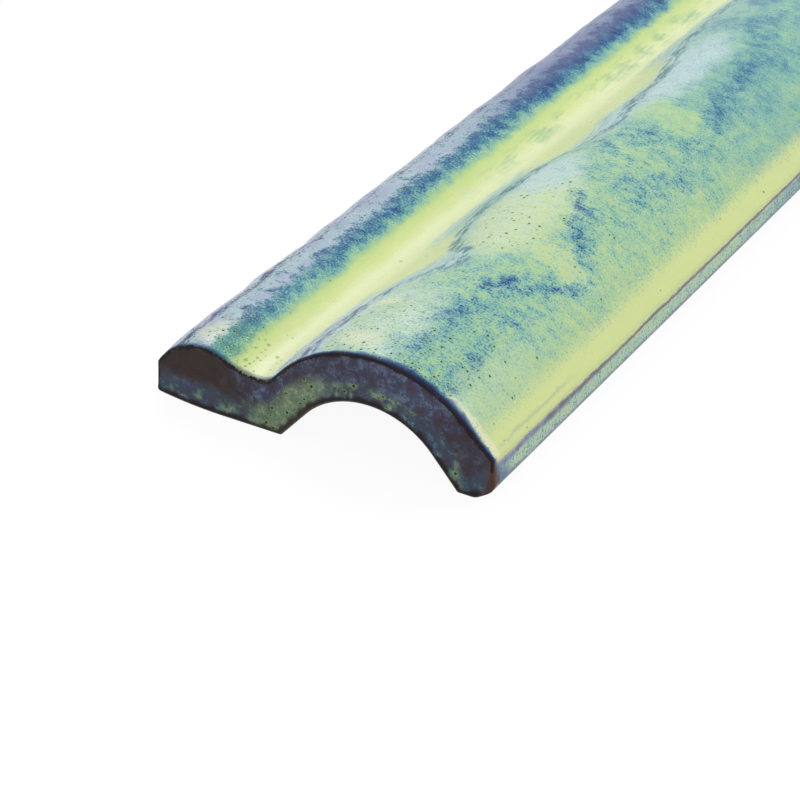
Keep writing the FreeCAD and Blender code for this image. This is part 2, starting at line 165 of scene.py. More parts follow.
def underside_outline():
    """The bare side's section from the bead's outer face along the bed and the channel to the foot."""
    lift_centre = np.array([BASE_LIFT_START, BASE_LIFT_RADIUS])
    lift_low = BASE_LIFT_RADIUS - math.sqrt(BASE_LIFT_RADIUS**2 - BASE_LIFT_START**2)
    lift_tilt = -math.degrees(math.asin(BASE_LIFT_START / BASE_LIFT_RADIUS))
    corner = eased(np.array([0, lift_low]), heading(-90), heading(lift_tilt), ARRIS_ROUND, 4)
    after_corner = math.degrees(math.atan2(*(corner[-1] - lift_centre)[::-1]))
    lift = bow(lift_centre, BASE_LIFT_RADIUS, after_corner, -90, 13)
    hollow_centre = np.array([crown_place - HOLLOW_SHIFT, CROWN_HEIGHT - ARCH_WALL - HOLLOW_RADIUS])
    side = HOLLOW_RADIUS * heading(90 - HOLLOW_FLANK_ANGLE)
    half_mouth = side[0] + (side[1] + hollow_centre[1]) / math.tan(math.radians(HOLLOW_FLANK_ANGLE))
    heel = eased(np.array([hollow_centre[0] - half_mouth, 0]), heading(0),
                 heading(HOLLOW_FLANK_ANGLE), CHANNEL_ROUND, 3)
    toe = eased(np.array([hollow_centre[0] + half_mouth, 0]), heading(-HOLLOW_FLANK_ANGLE),
                heading(0), CHANNEL_ROUND, 3)
    arch = bow(hollow_centre, HOLLOW_RADIUS, 90 + HOLLOW_FLANK_ANGLE, 90 - HOLLOW_FLANK_ANGLE, 80)
    left_side = hollow_centre + side * np.array([-1, 1])
    hollow = np.vstack([run(heel[-1], left_side, 30), arch, run(arch[-1], toe[0], 30)])
    channel = evenly(hollow, CHANNEL_STEPS)
    chamfer_run = np.array(FOOT_CHAMFER) / math.hypot(*FOOT_CHAMFER)
    foot_low = eased(np.array([strip_width - FOOT_CHAMFER[0], 0]), heading(0), chamfer_run, FOOT_ROUND, 3)
    foot_high = eased(np.array([strip_width, FOOT_CHAMFER[1]]), chamfer_run, heading(90), FOOT_ROUND, 3)
    bed = run(lift[-1], heel[0], 22)
    flat = run(toe[-1], foot_low[0], 4)
    chamfer = run(foot_low[-1], foot_high[0], 2)
    return np.vstack([corner, lift, bed, heel[1:], channel, toe[1:], flat, foot_low[1:], chamfer,
                      foot_high[1:]])


# The section is a closed loop of four sides, each side's points matched to the one across from it, so
# that the cut ends are filled with the same columns and the strip is one closed skin of quads.
FACE_ROWS = 12
LENGTH_STEPS = 340
ROUND_STEPS = 3
row_shares = (1 - np.cos(np.linspace(0, math.pi, FACE_ROWS + 1))) / 2

top = glazed_outline(0)
under = underside_outline()
columns = len(top) - 1
assert len(under) == len(top), (len(under), len(top))


def closed_loop(press):
    """The whole section, clockwise from the bead's arris seen along the strip."""
    glazed = glazed_outline(press)
    share = row_shares[1:-1, None]
    foot_face = glazed[-1] * (1 - share) + under[-1] * share
    bead_face = under[0] * (1 - share) + glazed[0] * share
    return np.vstack([glazed, foot_face, under[::-1], bead_face])


full_loop = closed_loop(0)
loop_size = len(full_loop)
tangent = np.roll(full_loop, -1, axis=0) - np.roll(full_loop, 1, axis=0)
outward = np.stack([-tangent[:, 1], tangent[:, 0]], 1) / np.hypot(*tangent.T)[:, None]

ring_places = []
ring_insets = []
for turn in np.linspace(0, math.pi / 2, ROUND_STEPS + 1)[:-1]:
    ring_places.append(END_ROUND * (1 - math.cos(turn)))
    ring_insets.append(END_ROUND * (1 - math.sin(turn)))
even_places = np.linspace(END_ROUND, STRIP_LENGTH - END_ROUND, LENGTH_STEPS + 1)
places = np.concatenate([ring_places, even_places, STRIP_LENGTH - np.array(ring_places)[::-1]])
insets = np.concatenate([ring_insets, np.zeros(len(even_places)), ring_insets[::-1]])

# How far round the section each point of the loop is, which the glaze's bands follow: it starts below
# the bead's face, runs over the glazed face and goes on down the foot's face and under its toe.
ACROSS_AT_ARRIS = 5.0
UNDER_FOOT_STEPS = 8
UNDER_BEAD_STEPS = 4
loop_along = along(full_loop)
across = ACROSS_AT_ARRIS + loop_along
foot_side = columns + FACE_ROWS + UNDER_FOOT_STEPS
bead_side = loop_size - FACE_ROWS - UNDER_BEAD_STEPS
whole_loop = loop_along[-1] + np.hypot(*(full_loop[0] - full_loop[-1]))
across[bead_side:] -= whole_loop
loop_row = np.zeros(loop_size)
loop_row[:columns + 1] = 1
loop_row[columns + 1:columns + FACE_ROWS] = row_shares[1:-1][::-1]
loop_row[-(FACE_ROWS - 1):] = row_shares[1:-1]
swell_way = outward * np.sqrt(loop_row)[:, None]

points = []
point_across = []
point_along = []
swell_ways = []
to_glazed = []
to_bare = []
half_press_moves = []
whole_press_moves = []
half_press = closed_loop(0.5) - full_loop
whole_press = closed_loop(1) - full_loop
for place, inset in zip(places, insets):
    ring = full_loop - outward * inset
    points.append(np.column_stack([ring[:, 0], np.full(loop_size, place), ring[:, 1]]))
    point_across.append(across)
    point_along.append(np.full(loop_size, place))
    swell_ways.append(swell_way)
    to_glazed.append(np.zeros(loop_size))
    to_bare.append(np.zeros(loop_size))
    half_press_moves.append(half_press)
    whole_press_moves.append(whole_press)

quads = []
finishes = []
GLAZED, CUT_END, BARE = 0, 1, 2
loop_index = np.arange(loop_size)
next_index = np.roll(loop_index, -1)
side_finish = np.full(loop_size, GLAZED)
side_finish[foot_side:bead_side] = BARE
for ring_number in range(len(places) - 1):
    here = ring_number * loop_size
    there = here + loop_size
    quads.append(np.stack([loop_index + here, next_index + here, next_index + there,
                           loop_index + there], 1))
    finishes.append(side_finish)


def nearest(spots, line):
    """How far each spot is from a line of closely set points."""
    close = np.vstack([a + (b - a) * share for a, b in zip(line[:-1], line[1:]) for share in (0, 0.5)])
    return np.min(np.hypot(*(spots[:, None] - close[None]).transpose(2, 0, 1)), axis=1)


def cut_end(ring_number, facing):
    """Fills one cut end with columns between the glazed outline and the bare one."""
    first = ring_number * loop_size
    ring = points[ring_number]
    start = sum(len(p) for p in points)
    grid = np.zeros((columns + 1, FACE_ROWS + 1), int)
    grid[:, FACE_ROWS] = first + np.arange(columns + 1)
    grid[:, 0] = first + columns + FACE_ROWS + np.arange(columns + 1)[::-1]
    grid[columns, 1:-1] = first + columns + np.arange(1, FACE_ROWS)[::-1]
    grid[0, 1:-1] = first + loop_size - FACE_ROWS + np.arange(1, FACE_ROWS)
    inner = np.arange((columns - 1) * (FACE_ROWS - 1)).reshape(columns - 1, FACE_ROWS - 1)
    grid[1:-1, 1:-1] = start + inner
    upper = ring[:columns + 1]
    lower = ring[columns + FACE_ROWS:2 * columns + FACE_ROWS + 1][::-1]
    share = row_shares[1:-1]
    filled = lower[1:-1, None] * (1 - share)[None, :, None] + upper[1:-1, None] * share[None, :, None]
    points.append(filled.reshape(-1, 3))
    point_across.append(np.repeat(across[1:columns], FACE_ROWS - 1))
    point_along.append(np.full(inner.size, ring[0, 1]))
    swell_ways.append((swell_way[1:columns, None] * share[None, :, None]).reshape(-1, 2))
    spots = filled.reshape(-1, 3)[:, [0, 2]]
    glazed_line = ring[np.r_[loop_size - FACE_ROWS:loop_size, 0:columns + FACE_ROWS + 1]]
    to_glazed.append(nearest(spots, glazed_line[:, [0, 2]]))
    to_bare.append(nearest(spots, ring[columns + FACE_ROWS:loop_size - FACE_ROWS + 1, [0, 2]]))
    for moves, pressed in ((half_press_moves, half_press), (whole_press_moves, whole_press)):
        moves.append((pressed[1:columns, None] * share[None, :, None]).reshape(-1, 2))
    corners = np.stack([grid[:-1, :-1], grid[1:, :-1], grid[1:, 1:], grid[:-1, 1:]], 2).reshape(-1, 4)
    quads.append(corners if facing < 0 else corners[:, ::-1])
    finishes.append(np.full(len(corners), CUT_END))


cut_end(0, -1)
cut_end(len(places) - 1, 1)
points = np.vstack(points)
quads = np.vstack(quads)

METRE = 0.001
strip_mesh = bpy.data.meshes.new("extruded_strip")
placed = (points - [strip_width / 2, STRIP_LENGTH / 2, 0]) * METRE
strip_mesh.from_pydata(placed.tolist(), [], quads.tolist())
for name, values in {"across": np.concatenate(point_across), "along": np.concatenate(point_along),
                     "to_glazed": np.concatenate(to_glazed), "to_bare": np.concatenate(to_bare)}.items():
    strip_mesh.attributes.new(name, "FLOAT", "POINT").data.foreach_set("value", values.astype(np.float32))
for name, moves in {"half_press": half_press_moves, "whole_press": whole_press_moves,
                    "swell_way": swell_ways}.items():
    flat = np.vstack(moves) * METRE
    vectors = np.column_stack([flat[:, 0], np.zeros(len(flat)), flat[:, 1]]).astype(np.float32)
    strip_mesh.attributes.new(name, "FLOAT_VECTOR", "POINT").data.foreach_set("vector", vectors.ravel())
strip_mesh.attributes.new("finish", "INT", "FACE").data.foreach_set("value", np.concatenate(finishes))
strip_mesh.polygons.foreach_set("use_smooth", np.ones(len(quads), bool))
strip_mesh.update()
strip = bpy.data.objects.new("extruded_strip", strip_mesh)
link = bpy.context.scene.collection.objects.link
link(strip)


class Wire:
    """A value on its way through a node tree. Sums on it add the nodes that work them out."""

    def __init__(self, tree, socket):
        self.tree = tree
        self.socket = socket

    def work(self, operation, *others):
        """Adds one sum to the tree, with this value first."""
        node = self.tree.nodes.new("ShaderNodeMath")
        node.operation = operation
        for place, value in enumerate((self, *others)):
            connect(value, node.inputs[place])
        return Wire(self.tree, node.outputs[0])

    def __add__(self, other):
        return self.work("ADD", other)

    def __sub__(self, other):
        return self.work("SUBTRACT", other)

    def __rsub__(self, other):
        return self.work("MULTIPLY", -1).work("ADD", other)

    def __mul__(self, other):
        return self.work("MULTIPLY", other)

    def __truediv__(self, other):
        return self.work("DIVIDE", other)

    def __rtruediv__(self, other):
        return self.work("POWER", -1).work("MULTIPLY", other)

    __radd__ = __add__
    __rmul__ = __mul__


def connect(value, socket):
    """Joins a wire to a socket, or sets the socket to a plain value."""
    if isinstance(value, Wire):
        value.tree.links.new(value.socket, socket)
    else:
        socket.default_value = value


def add_node(tree, kind, inputs=None, **settings):
    """A node with its settings made and its inputs connected or set."""
    node = tree.nodes.new(kind)
    for name, value in settings.items():
        setattr(node, name, value)
    for name, value in (inputs or {}).items():
        connect(value, node.inputs[name])
    return node


def out(node, name=0):
    """The wire from one of a node's outputs."""
    return Wire(node.id_data, node.outputs[name])


def rise(value, start, end):
    """0 before start and 1 after end, with a smooth step between."""
    return out(add_node(value.tree, "ShaderNodeMapRange", {0: value, 1: start, 2: end},
                        interpolation_type="SMOOTHSTEP"))


def stripe(value, start, end, soft):
    """1 between start and end, with soft edges."""
    return rise(value, start - soft, start + soft) * (1 - rise(value, end - soft, end + soft))


# The hand's work on the extruded strip: presses along the flank, each a smooth dip, and then the small
# unevenness of a hand-finished face. The inputs are in millimetres, as the strip's own attributes are.
FINISHES = ("Run glaze", "End glaze", "Bare body")
press_tree = bpy.data.node_groups.new("hand_pressing", "GeometryNodeTree")
press_tree.interface.new_socket("Strip", in_out="INPUT", socket_type="NodeSocketGeometry")
press_tree.interface.new_socket("Strip", in_out="OUTPUT", socket_type="NodeSocketGeometry")
press_sizes = {f"Press {n + 1} place": place for n, place in enumerate(PRESS_PLACES)}
press_sizes.update({
    "Press reach": PRESS_REACH,
    "Hand unevenness": 0.14,
    "Unevenness span": 17.0,
    "Bead waver": 0.45,
    "Bead waver span": 9.0,
    "Glaze swell": 0.05,
    "Swell span": 4.0,
    "End roll-off": 0.3,
    "Seed": 7.0,
})
DIE_LOW = (-strip_width / 2 * METRE, -STRIP_LENGTH / 2 * METRE, 0.0)
DIE_HIGH = (strip_width / 2 * METRE, STRIP_LENGTH / 2 * METRE, CROWN_HEIGHT * METRE)
press_inputs = {}
for name in press_sizes:
    press_inputs[name] = press_tree.interface.new_socket(
        name, in_out="INPUT", socket_type="NodeSocketFloat").identifier
for name in FINISHES:
    press_inputs[name] = press_tree.interface.new_socket(
        name, in_out="INPUT", socket_type="NodeSocketMaterial").identifier
entry = press_tree.nodes.new("NodeGroupInput")


def named(name, kind="FLOAT"):
    """A value kept on the strip's points or faces."""
    return out(add_node(press_tree, "GeometryNodeInputNamedAttribute", {"Name": name}, data_type=kind))


def vector_work(operation, first, second):
    """One sum on vectors, or a vector scaled by a number."""
    node = add_node(press_tree, "ShaderNodeVectorMath", {0: first}, operation=operation)
    connect(second, node.inputs["Scale" if operation == "SCALE" else 1])
    return out(node)


place_along = named("along")
press = None
for n in range(len(PRESS_PLACES)):
    away = (place_along - out(entry, f"Press {n + 1} place")) / out(entry, "Press reach")
    one_press = (away * away * -1).work("EXPONENT")
    press = one_press if press is None else press + one_press
squared = press * press
from_half = vector_work("SCALE", named("half_press", "FLOAT_VECTOR"), press * 4 - squared * 4)
from_whole = vector_work("SCALE", named("whole_press", "FLOAT_VECTOR"), squared * 2 - press)
pressed = add_node(press_tree, "GeometryNodeSetPosition", {
    "Geometry": out(entry, "Strip"), "Offset": vector_work("ADD", from_half, from_whole)})

# The relief runs square to the extruded section: slow unevenness from the hand, a waver along the bead,
# the glaze's own swell, and a roll-off where the glaze drew back from the cut ends.
position = out(add_node(press_tree, "GeometryNodeInputPosition"))
from_end = place_along.work("MINIMUM", STRIP_LENGTH - place_along)
on_bead = rise(named("across"), 5.0, 8.0) * (1 - rise(named("across"), 15.0, 19.0))
waver_place = vector_work("MULTIPLY", position, (0.3, 1.0, 0.3))
relief = None
for name, span, where in (("Hand unevenness", "Unevenness span", position),
                          ("Bead waver", "Bead waver span", waver_place),
                          ("Glaze swell", "Swell span", position)):
    noise = add_node(press_tree, "ShaderNodeTexNoise", {
        "Vector": where, "W": out(entry, "Seed"), "Scale": 1000 / out(entry, span), "Detail": 1.0},
        noise_dimensions="4D")
    swell = (out(noise) - 0.5) * 2 * out(entry, name)
    swell = swell * on_bead if name == "Bead waver" else swell
    relief = swell if relief is None else relief + swell
relief = relief - out(entry, "End roll-off") * (1 - rise(from_end, -1.0, 5.0))
evened = add_node(press_tree, "GeometryNodeSetPosition", {
    "Geometry": out(pressed), "Offset": vector_work("SCALE", named("swell_way", "FLOAT_VECTOR"), relief)})
inside_low = vector_work("MAXIMUM", out(add_node(press_tree, "GeometryNodeInputPosition")), DIE_LOW)
trued = add_node(press_tree, "GeometryNodeSetPosition", {
    "Geometry": out(evened), "Position": vector_work("MINIMUM", inside_low, DIE_HIGH)})
realized = add_node(press_tree, "GeometryNodeRealizeInstances", {"Geometry": out(trued)})
finished = out(realized)
finish = named("finish", "INT")
for number, name in enumerate(FINISHES):
    chosen = add_node(press_tree, "FunctionNodeCompare", data_type="INT", operation="EQUAL")
    connect(finish, chosen.inputs[2])
    connect(number, chosen.inputs[3])
    finished = out(add_node(press_tree, "GeometryNodeSetMaterial", {
        "Geometry": finished, "Selection": out(chosen), "Material": out(entry, name)}))
leave = press_tree.nodes.new("NodeGroupOutput")
connect(finished, leave.inputs["Strip"])


def paint(red, green, blue):
    """A colour written as it looks on a screen, as the linear values that the shaders take."""
    parts = [part / 255 for part in (red, green, blue)]
    return (*[p / 12.92 if p <= 0.04045 else ((p + 0.055) / 1.055) ** 2.4 for p in parts], 1)


def between(first, second, share):
    """A fixed colour part of the way from one to another."""
    return tuple(a + (b - a) * share for a, b in zip(first, second))


def cover(under_colour, over_colour, amount):
    """One colour laid over another."""
    node = add_node(amount.tree, "ShaderNodeMix", {0: amount}, data_type="RGBA")
    connect(under_colour, node.inputs[6])
    connect(over_colour, node.inputs[7])
    return out(node, 2)


def spread(tree, across_part, along_part, third=0.0):
    """A place on the glaze as a vector for a texture."""
    return out(add_node(tree, "ShaderNodeCombineXYZ", {0: across_part, 1: along_part, 2: third}))


def cloud(vector, span, detail=3.0, roughness=0.55, distortion=0.0):
    """Soft random patches about a span wide, from 0 to 1."""
    node = add_node(vector.tree, "ShaderNodeTexNoise", {
        "Vector": vector, "Scale": 1 / span, "Detail": detail, "Roughness": roughness,
        "Distortion": distortion})
    return out(node)


def patch(place_across, place_along, centre, reach, soft):
    """1 inside an oval on the glaze, with a soft edge."""
    from_across = (place_across - centre[0]) / reach[0]
    from_along = (place_along - centre[1]) / reach[1]
    away = (from_across * from_across + from_along * from_along).work("SQRT")
    return 1 - rise(away, 1 - soft, 1 + soft)


def ramp(value, stops):
    """Colours run into each other by a value from 0 to 1."""
    node = add_node(value.tree, "ShaderNodeValToRGB", {0: value})
    while len(node.color_ramp.elements) < len(stops):
        node.color_ramp.elements.new(0.5)
    for element, (place, colour) in zip(node.color_ramp.elements, stops):
        element.position = place
        element.color = colour
    return out(node)


def effect_group(name, inputs, outputs):
    """An empty shader node group, wires from its inputs and the node that takes its outputs."""
    group = bpy.data.node_groups.new(name, "ShaderNodeTree")
    for label, kind in inputs.items():
        group.interface.new_socket(label, in_out="INPUT", socket_type=kind)
    for label, kind in outputs.items():
        group.interface.new_socket(label, in_out="OUTPUT", socket_type=kind)
    start = group.nodes.new("NodeGroupInput")
    return {label: out(start, label) for label in inputs}, group.nodes.new("NodeGroupOutput")


def use_group(tree, name, inputs):
    """One of the shader node groups, placed in a material with its own values."""
    node = tree.nodes.new("ShaderNodeGroup")
    node.node_tree = bpy.data.node_groups[name]
    for label, value in inputs.items():
        connect(value, node.inputs[label])
    return node


# Pinholes: gas burst through the melt and left small dark pits, each with a thin ring of other colour.
pit_in, pit_out = effect_group("pinholes", {
    "Vector": "NodeSocketVector", "Spacing": "NodeSocketFloat", "Share": "NodeSocketFloat",
    "Radius": "NodeSocketFloat"}, {"Pit": "NodeSocketFloat", "Ring": "NodeSocketFloat"})
pit_cells = add_node(pit_in["Vector"].tree, "ShaderNodeTexVoronoi", {
    "Vector": pit_in["Vector"], "Scale": 1 / pit_in["Spacing"], "Randomness": 1.0},
    voronoi_dimensions="2D")
pit_random = add_node(pit_in["Vector"].tree, "ShaderNodeSeparateColor",
                      {0: out(pit_cells, "Color")})
pit_radius = pit_in["Radius"] * (out(pit_random, 1) * out(pit_random, 1) * 1.3 + 0.45)
pit_there = (pit_in["Share"] - out(pit_random, 0)).work("GREATER_THAN", 0)
pit_share = out(pit_cells, "Distance") * pit_in["Spacing"] / pit_radius
connect((1 - rise(pit_share, 0.5, 1.1)) * pit_there, pit_out.inputs["Pit"])
connect(rise(pit_share, 0.5, 1.0) * (1 - rise(pit_share, 1.0, 2.6)) * pit_there, pit_out.inputs["Ring"])

# Boil: the grain of a glaze that bubbled and settled, from fine specks to broad clouds. Each grain has its
# span in millimetres, its detail, and the levels of the noise that become 0 and 1.
GRAINS = {"Fine": (0.42, 3.0, 0.3, 0.7), "Middle": (2.2, 3.0, 0.3, 0.7), "Broad": (8.0, 2.0, 0.3, 0.7)}
grain_in, grain_out = effect_group(
    "boil", {"Vector": "NodeSocketVector"}, {label: "NodeSocketFloat" for label in GRAINS})
for label, (span, detail, low, high) in GRAINS.items():
    grain = add_node(grain_in["Vector"].tree, "ShaderNodeTexNoise", {
        "Vector": grain_in["Vector"], "Scale": 1 / span, "Detail": detail, "Roughness": 0.62})
    connect(out(add_node(grain_in["Vector"].tree, "ShaderNodeMapRange", {0: out(grain), 1: low, 2: high})),
            grain_out.inputs[label])


def new_material(name):
    """A material, its node tree and its surface shader."""
    material = bpy.data.materials.new(name)
    material.use_nodes = True
    tree = material.node_tree
    return material, tree, tree.nodes["Principled BSDF"]


def kept_value(tree, name):
    """A value that the strip's mesh keeps at each point."""
    return out(add_node(tree, "ShaderNodeAttribute", attribute_name=name), "Fac")


def object_place(tree):
    """The place on the object in millimetres."""
    node = add_node(tree, "ShaderNodeVectorMath", {0: out(add_node(tree, "ShaderNodeTexCoord"), "Object")},
                    operation="SCALE")
    node.inputs["Scale"].default_value = 1000
    return out(node)


def trickle(u, y, start, end, reach):
    """1 on a line between two places on the glaze, fading to 0 at a reach from it."""
    run_u, run_y = end[0] - start[0], end[1] - start[1]
    on_line = ((u - start[0]) * run_u + (y - start[1]) * run_y) / (run_u**2 + run_y**2)
    on_line = on_line.work("MAXIMUM", 0).work("MINIMUM", 1)
    off_u = u - start[0] - on_line * run_u
    off_y = y - start[1] - on_line * run_y
    return 1 - rise((off_u * off_u + off_y * off_y).work("SQRT"), reach * 0.15, reach)


def raise_skin(tree, surface, height, strength):
    """Bump on a surface from a height in millimetres."""
    bump = add_node(tree, "ShaderNodeBump", {
        "Height": height * METRE, "Distance": 1.0, "Strength": strength})
    connect(out(bump), surface.inputs["Normal"])


def bulge(place, centre, reach):
    """A smooth hump along the strip, 1 at its centre."""
    away = (place - centre) / reach
    return (away * away * -1).work("EXPONENT")


def most(values):
    """The greatest of several values."""
    greatest = values[0]
    for value in values[1:]:
        greatest = greatest.work("MAXIMUM", value)
    return greatest


# The run glaze over the whole face. Copper and cobalt break blue where it ran thin over the bead, the
# shoulder and the ends, and pool yellow-green where it lay thick in the cove and above the foot.
YELLOW_GREEN = paint(210, 221, 144)
CREAM = paint(222, 231, 182)
TAN = paint(220, 226, 174)
LEAF = paint(178, 207, 132)
ICE = paint(190, 214, 216)
PALE_ICE = paint(206, 223, 214)
PALE_GREEN = paint(186, 211, 168)
LOBE_CREAM = paint(198, 216, 164)
# Paler cream glaze with a painted highlight in it, for the patches near the end on the arch and the bead's
# crest.
CREAM_GLAZE_AND_GLINT = paint(220, 227, 192)
LAVENDER = paint(160, 170, 196)
VIOLET = paint(84, 80, 132)
TEAL = paint(84, 138, 148)
NAVY = paint(32, 54, 112)
RIM_BROWN = paint(34, 22, 22)
WARM_BROWN = paint(82, 54, 44)
PIT_BROWN = paint(32, 38, 28)
PIT_RING = paint(150, 188, 126)
POOL_GREEN = paint(194, 216, 140)
POOL_YELLOW = paint(210, 223, 152)
SMUDGE_GREEN = paint(146, 186, 138)
LATE_TEAL = paint(126, 164, 152)
FALL_GREEN = paint(86, 146, 116)
CREST_ICE = paint(170, 194, 202)
CREST_BLUE = paint(92, 118, 164)
BEAD_LINE_BLUE = paint(8, 32, 100)
STRAND_PALE = paint(198, 214, 240)
STRAND_BLUE = paint(34, 100, 144)
STRAND_NAVY = paint(8, 44, 116)
BRAID_GREEN = paint(52, 132, 126)
BRAID_BLUE = paint(6, 74, 124)
BRAID_NAVY = paint(6, 44, 122)
ARRIS_BLUE = paint(112, 126, 174)
ARRIS_MAUVE = paint(84, 76, 116)
CORNER_BLUE = paint(70, 96, 150)
# Cream glaze with a painted highlight in it, for the ridge near the end of the slope.
RIDGE_GLINT_CREAM = paint(236, 232, 204)
HALO_NAVY = paint(8, 24, 62)
# The run glaze breaks through these colours, from where it lies thick to where it ran thin.
BREAKS = [(0.0, paint(190, 210, 148)), (0.26, paint(162, 200, 156)), (0.46, paint(132, 183, 168)),
          (0.64, paint(90, 147, 160)), (0.8, paint(46, 102, 146)), (1.0, paint(18, 48, 110))]
# Where one zone of the glaze gives way to the next, in millimetres round the section.
CREST_TO_FALL = (15.6, 17.8)
FALL_TO_POOL = (21.2, 22.9)
POOL_TO_FLANK = (28.6, 30.4)
ARCH_TO_BAND = (72.0, 75.6)
ARRIS_PLACE = 79.9
BAND_TO_FACE = (80.2, 80.8)
# Where blue trickled down from the shoulder between the hand-pressed lobes: start and end as places round
# the section and along the strip in millimetres, then reach and strength.
TRICKLES = [
    ((54, 67), (59, 58), 3.2, 1.0), ((59, 58), (67, 49), 3.0, 0.7), ((67, 44), (61, 36), 3.0, 0.9),
    ((61, 36), (57, 31), 4.0, 1.0), ((57, 31), (56, 8), 4.5, 0.45), ((64.5, 20), (65, 2), 2.0, 0.5),
    ((57, 132), (60, 116), 4.0, 0.6), ((60, 116), (63, 99), 4.0, 0.6), ((62, 97), (50, 91), 3.2, 0.6),
    ((44, 102), (50, 94), 3.0, 0.4), ((47, 88), (54, 84), 3.0, 0.6), ((48, 160), (57, 138), 5.0, 0.4),
    ((66, 92), (62, 74), 6.0, 0.35), ((52, 33), (62, 24), 5.0, 0.3)]

run_glaze, tree, surface = new_material("run_glaze")
round_place = kept_value(tree, "across")
strip_place = kept_value(tree, "along")
from_end = strip_place.work("MINIMUM", STRIP_LENGTH - strip_place)
flat_place = spread(tree, round_place, strip_place)
boil = use_group(tree, "boil", {"Vector": flat_place})
fine, middle, broad = (out(boil, label) for label in GRAINS)
fine_off, middle_off, broad_off = (grain - 0.5 for grain in (fine, middle, broad))
# Streaks run down the section and strands run along the strip. The place (u, y) on the glaze strays a
# little from the true one, so that no edge that follows it is even.
streaks = cloud(spread(tree, round_place * 0.4, strip_place, 7.0), 0.8, 3.0, 0.65)
strands = cloud(spread(tree, round_place * 1.2, strip_place * 0.16, 3.0), 0.8, 4.0, 0.65)
streaks_off, strands_off = streaks - 0.5, strands - 0.5
stray = add_node(tree, "ShaderNodeTexNoise", {"Vector": flat_place, "Scale": 1 / 5.0, "Detail": 6.0,
                                              "Roughness": 0.7})
stray = add_node(tree, "ShaderNodeSeparateColor", {0: out(stray, "Color")})
stray_across, stray_along, stray_third = (out(stray, channel) - 0.5 for channel in range(3))
u = round_place + stray_across * 9.0
y = strip_place + stray_along * 11.0
specks = rise(fine + streaks_off * 0.9, 0.5, 0.86)
grit = fine_off * 0.34 + streaks_off * 0.32 + middle_off * 0.34 + specks * 0.16 - 0.06

# Over the arch: mottled green, bluer away from the near end, with pale lobes and blue trickles.
lobe_near = patch(u, y, (46, 12), (8.5, 13), 0.45)
lobe_middle = most([patch(u, y, (49.5, 56), (8.5, 15), 0.35), trickle(u, y, (50, 52), (64, 46), 6.0)])
lobe_ice = most([patch(u, y, (46, 72), (5, 9), 0.4), patch(u, y, (47, 124), (5.5, 18), 0.4)])
lobe_far = trickle(u, y, (51, 104), (60, 102), 7.0)
trickled = most([trickle(u, y, *line) * strength for *line, strength in TRICKLES])
far = rise(strip_place, 80, 130)
trickled = trickled * (0.45 + middle * 0.6 + fine_off * 0.4)
blue_share = 0.38 + far * 0.14 + broad_off * 0.22 + trickled * (0.4 - far * 0.1)
blue_share = blue_share + patch(u, y, (59, 13), (7, 17), 0.6) * 0.08 - lobe_far * 0.22
blue_share = blue_share - rise(u, 64, 73) * (0.13 - far * 0.08)
blue_share = blue_share - lobe_middle * (1 - trickled) * 0.22
colour = ramp(blue_share + grit * (1 - far * 0.5), BREAKS)
pale = most([lobe_near * 0.66, lobe_middle * (0.75 - rise(u, 48, 60) * 0.5), lobe_ice * 0.75])
pale_mix = rise(lobe_middle - lobe_ice * 0.8 + lobe_near * 0.3 + broad_off * 0.5, 0.1, 0.9)
pale_colour = cover(cover(ICE, PALE_ICE, lobe_near), cover(LOBE_CREAM, PALE_ICE, middle * 0.6), pale_mix)
pale_colour = cover(pale_colour, PALE_GREEN, lobe_near * rise(broad + fine_off * 0.6, 0.3, 0.7) * 0.7)
colour = cover(colour, pale_colour, pale * (1 - trickled * 0.6) * (1.24 - specks * 0.6 - streaks * 0.3))
slope_near = patch(u, y, (70, 8), (4.5, 18), 0.5)
colour = cover(colour, PALE_GREEN, slope_near * 0.55 * (1 - specks * 0.4))
# Two cream patches on the arch near the end: paler glaze with a painted highlight in its colour.
pale_glaze_glint = most([patch(u, strip_place, (47, 5.5), (4.0, 2.6), 0.5),
             patch(u, strip_place, (44, 19), (2.4, 1.2), 0.5)])
colour = cover(colour, CREAM_GLAZE_AND_GLINT, pale_glaze_glint * (1 - specks * 0.6) * 0.75)

# Above the foot the glaze pooled in a clean yellow band.
foot_pool = rise(round_place + middle_off * 1.5 - specks * 0.8, *ARCH_TO_BAND)
colour = cover(colour, cover(YELLOW_GREEN, CREAM, strands * 0.35), foot_pool * 0.94)
late_line = stripe(round_place + stray_along * 2.5, 76.9, 77.4, 0.3)
colour = cover(colour, LATE_TEAL, late_line * stripe(strip_place, 4, 27, 5) * 0.4)

# The flank's glaze ran off the shoulder in strands, and pooled where the hand pressed the flank in. A
# dark braid marks where the shoulder's glaze let go of the flank's. A bow of the braid has its place along
# the strip, its reach and how far it swings out, and a pool has its place and reach.
BRAID_START = 38
BRAID_BOWS = ((36, 9, 9.3), (73, 7, 3), (99, 13, 8), (125, 14, 4), (186, 13, 9))
DIP_POOLS = ((43, 15), (98, 16), (111, 18), (125, 16), (187, 13))
line_place = BRAID_START
for centre, reach, height in BRAID_BOWS:
    line_place = line_place + bulge(strip_place, centre, reach) * height
past_line = round_place + middle_off * 1.4 + stray_third * 4.0 - line_place
flank_tone = strands * 0.9 + broad_off * 0.3 + far * 0.1
flank_colour = cover(ramp(flank_tone, BREAKS), ICE, 0.66 - strands_off * 1.3)
flank_colour = cover(flank_colour, STRAND_PALE, (1 - rise(strip_place, 18, 32)) * 0.85)
colour = cover(colour, flank_colour, 1 - rise(past_line, -0.4, 4.0))
pool_lift = most([bulge(strip_place, centre, reach) for centre, reach in DIP_POOLS])
ragged = strands_off * 5 + middle_off * 3
dip_pool = rise(pool_lift + ragged * 0.09, 0.2, 0.9)
